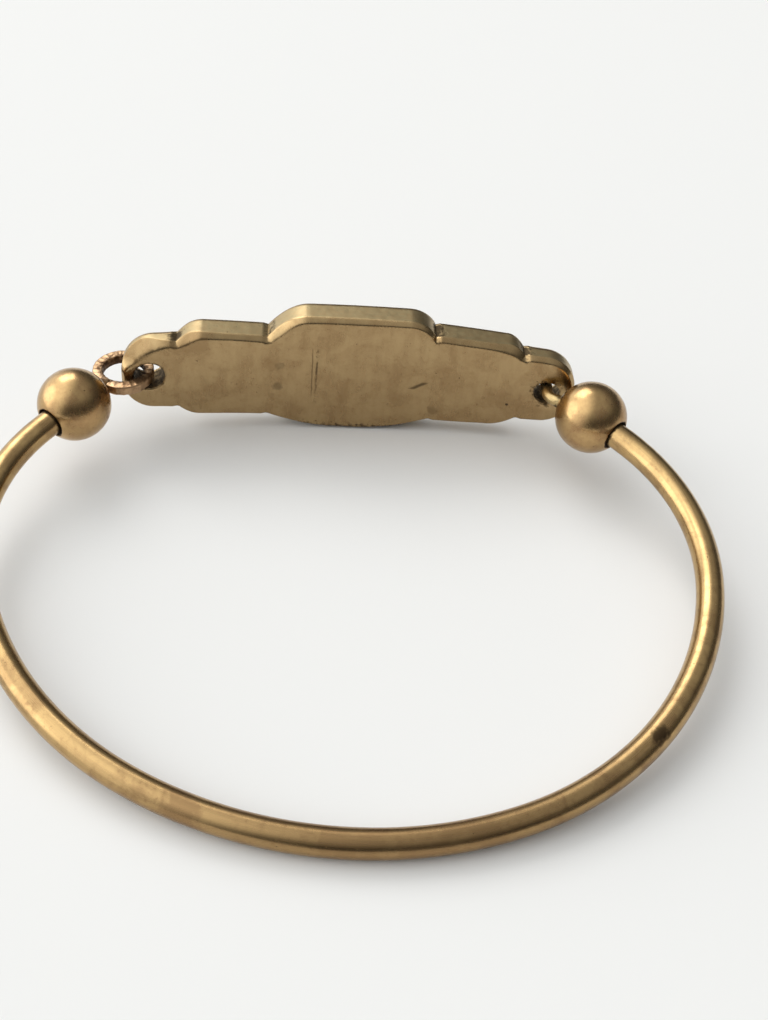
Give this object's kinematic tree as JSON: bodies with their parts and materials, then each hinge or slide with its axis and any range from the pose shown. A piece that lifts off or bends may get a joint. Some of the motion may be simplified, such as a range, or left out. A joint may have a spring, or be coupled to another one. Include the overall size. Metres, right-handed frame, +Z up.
{
  "type": "hinged bangle bracelet",
  "caption": "Round brass wire bangle with a ball on each end, closed by a curved stepped plaque that swings on a small ring and catches on a wire hook.",
  "frame": {"origin": "on the table under the middle of the whole bracelet's box", "axes": "+Z up from the table, +X towards the ball with the hook, +Y from the front of the wire towards the plaque"},
  "size_m": [0.0674, 0.0548, 0.0135],
  "materials": {
    "wire_brass": "hand polished, warm, darker underneath",
    "ball_brass": "polished with small dents and dark seams",
    "ring_brass": "hammered",
    "hook_brass": "drawn wire, worn",
    "plaque_brass": "polished olive brass with scratches and tarnish"
  },
  "bodies": {
    "bangle": {"bangle_wire": "wire_brass", "ring_ball": "ball_brass", "hook_ball": "ball_brass", "hinge_ring": "ring_brass", "clasp_hook": "hook_brass"},
    "plaque_body": {"plaque": "plaque_brass"}
  },
  "joints": [
    {"name": "plaque_swing", "type": "hinge", "parent": "bangle", "child": "plaque_body", "pos_m": [-0.02184, 0.02412, 0.0067], "axis": [0, 0, 1], "range_deg": [0, 150]}
  ]
}
